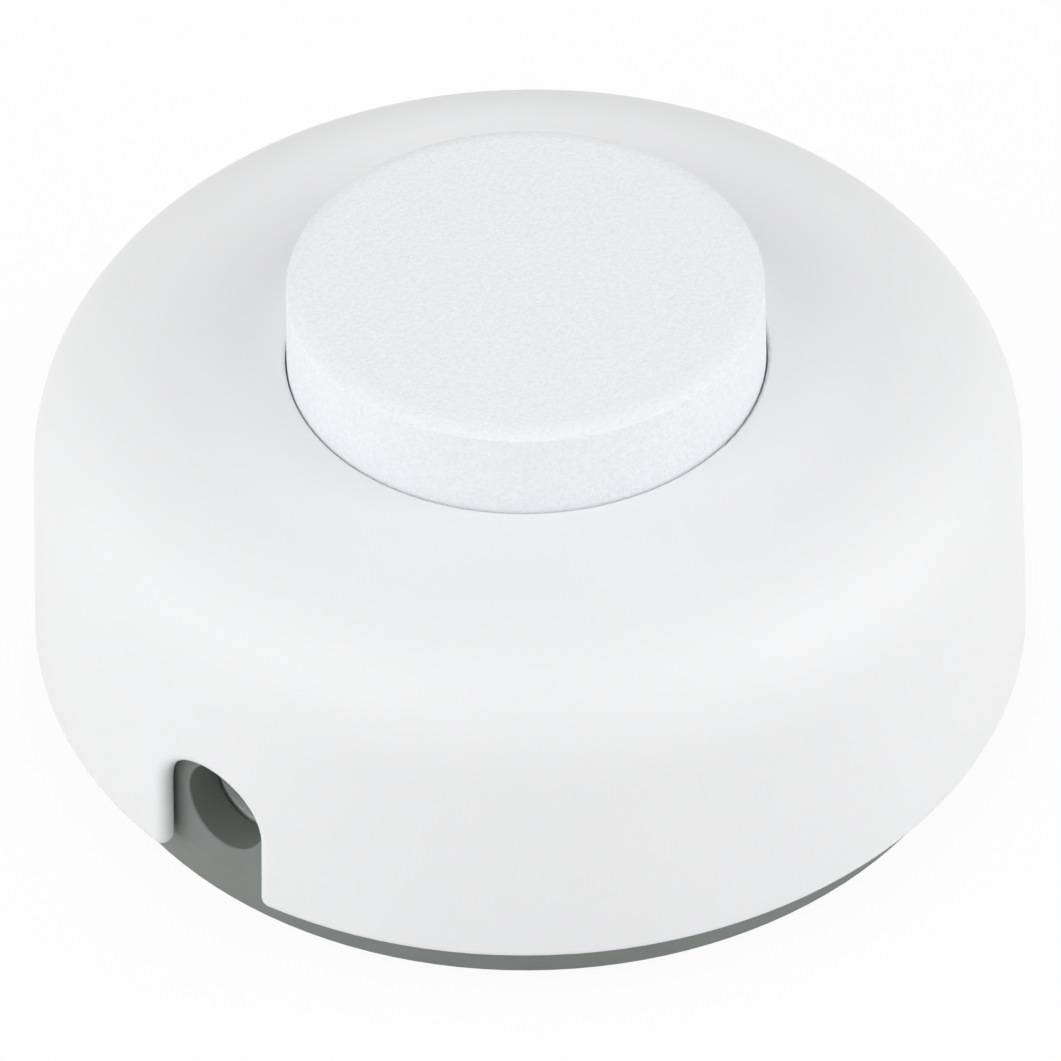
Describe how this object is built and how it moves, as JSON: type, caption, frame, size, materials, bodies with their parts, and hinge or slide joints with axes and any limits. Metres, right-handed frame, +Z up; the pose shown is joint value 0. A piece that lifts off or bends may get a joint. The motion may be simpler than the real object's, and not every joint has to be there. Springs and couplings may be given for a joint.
{
  "type": "inline foot switch",
  "caption": "Round floor switch for a lamp cord: domed housing on a base, large press button, arched cord inlets and a ratchet that turns the contacts.",
  "frame": {"origin": "centre of the switch on the plane of its feet", "axes": "+X along the cord line towards the outlet, +Z up along the button's travel"},
  "size_m": [0.0692, 0.07, 0.0347],
  "materials": {
    "white_plastic": "satin",
    "grey_plastic": "matte",
    "natural_plastic": "satin",
    "mechanism_plastic": "satin",
    "spring_steel": "drawn",
    "plated_steel": "zinc plated",
    "brass": "rolled",
    "bronze": "rolled",
    "silver": "polished",
    "rubber": "matte"
  },
  "bodies": {
    "base": {"upper_housing": "white_plastic", "base": "grey_plastic", "cord_saddle_inlet": "natural_plastic", "cord_saddle_outlet": "natural_plastic", "cord_clamp_inlet": "natural_plastic", "cord_clamp_outlet": "natural_plastic", "spring_cup": "mechanism_plastic", "return_spring": "spring_steel", "pivot_pin": "spring_steel", "thrust_washer": "spring_steel", "terminal_screws": "plated_steel", "wire_clamp_washers": "plated_steel", "clamp_screws": "plated_steel", "housing_screws": "plated_steel", "live_in_contact": "brass", "live_out_contact": "brass", "neutral_link": "brass", "fixed_contact_tips": "silver", "rubber_foot_1": "rubber", "rubber_foot_2": "rubber", "rubber_foot_3": "rubber", "rubber_foot_4": "rubber"},
    "button": {"push_button": "white_plastic", "ratchet_driver": "mechanism_plastic"},
    "rotor": {"ratchet_rotor": "mechanism_plastic", "contact_bridge": "bronze", "moving_contact_tips": "silver"}
  },
  "joints": [
    {"name": "button_press", "type": "slide", "parent": "base", "child": "button", "axis": [0, 0, -1], "range_m": [0, 0.004], "stiffness_N_per_m": 1200, "springref_m": -0.004, "deforming": ["return_spring"]},
    {"name": "rotor_turn", "type": "hinge", "parent": "base", "child": "rotor", "pos_m": [0, 0, 0.0077], "axis": [0, 0, 1], "range_deg": [0, 45]}
  ],
  "couplings": [
    {"joint": "rotor_turn", "follows": "button_press", "rad_per_m": 196.31}
  ]
}
